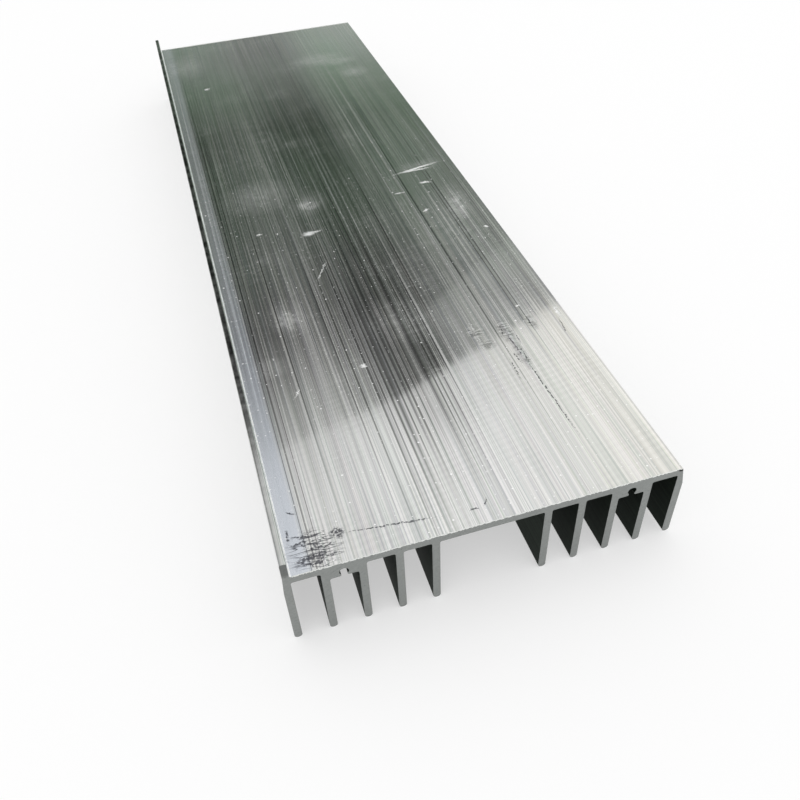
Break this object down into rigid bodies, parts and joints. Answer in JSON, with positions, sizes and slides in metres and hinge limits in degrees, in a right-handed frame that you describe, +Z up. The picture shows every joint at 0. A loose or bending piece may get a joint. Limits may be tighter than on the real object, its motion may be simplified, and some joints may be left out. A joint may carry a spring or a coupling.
{
  "type": "extruded heat sink",
  "caption": "Long extruded aluminium heat sink: flat plate with banks of straight fins either side of an open channel, screw ports under the plate and a raised lip along one edge.",
  "frame": {"origin": "centre of the footprint on the plane that the fin tips stand on", "axes": "+X across the fins with the lip on the -X side, +Y along the extrusion, +Z up through the flat plate face"},
  "size_m": [0.0914, 0.3, 0.027],
  "materials": {
    "mill_aluminium": "mill finish with lengthwise die lines, saw-cut ends, light scratches and handling marks"
  },
  "bodies": {
    "root": {"heat_sink": "mill_aluminium"}
  },
  "joints": []
}
